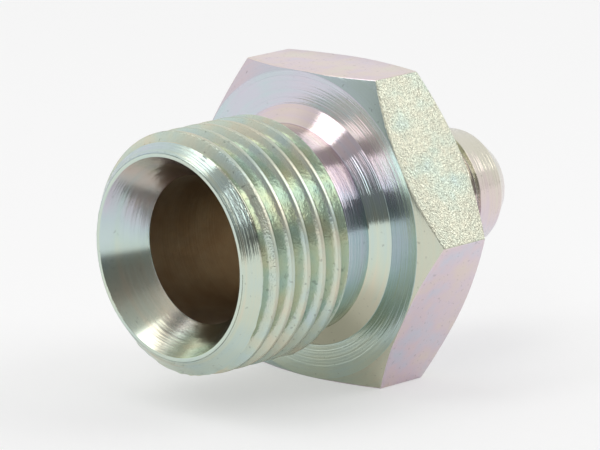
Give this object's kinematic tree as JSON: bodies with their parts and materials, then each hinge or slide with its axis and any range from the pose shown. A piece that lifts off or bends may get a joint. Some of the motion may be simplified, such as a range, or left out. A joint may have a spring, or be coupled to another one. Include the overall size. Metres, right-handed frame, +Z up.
{
  "type": "hydraulic adapter",
  "caption": "Straight metal adapter: parallel pipe thread with a coned seat and relief neck, a chamfered spanner hexagon and a short ridged hose stub, bored through.",
  "frame": {"origin": "on the surface that the adapter lies on, under the middle of its length", "axes": "+Y along the bore from the threaded end to the hose stub, +Z up, square to the hexagon's resting flat"},
  "size_m": [0.0312, 0.0374, 0.027],
  "materials": {
    "plated_steel": "bright zinc plate with a faint rainbow passivation, turned and milled"
  },
  "bodies": {
    "root": {"adapter": "plated_steel"}
  },
  "joints": []
}
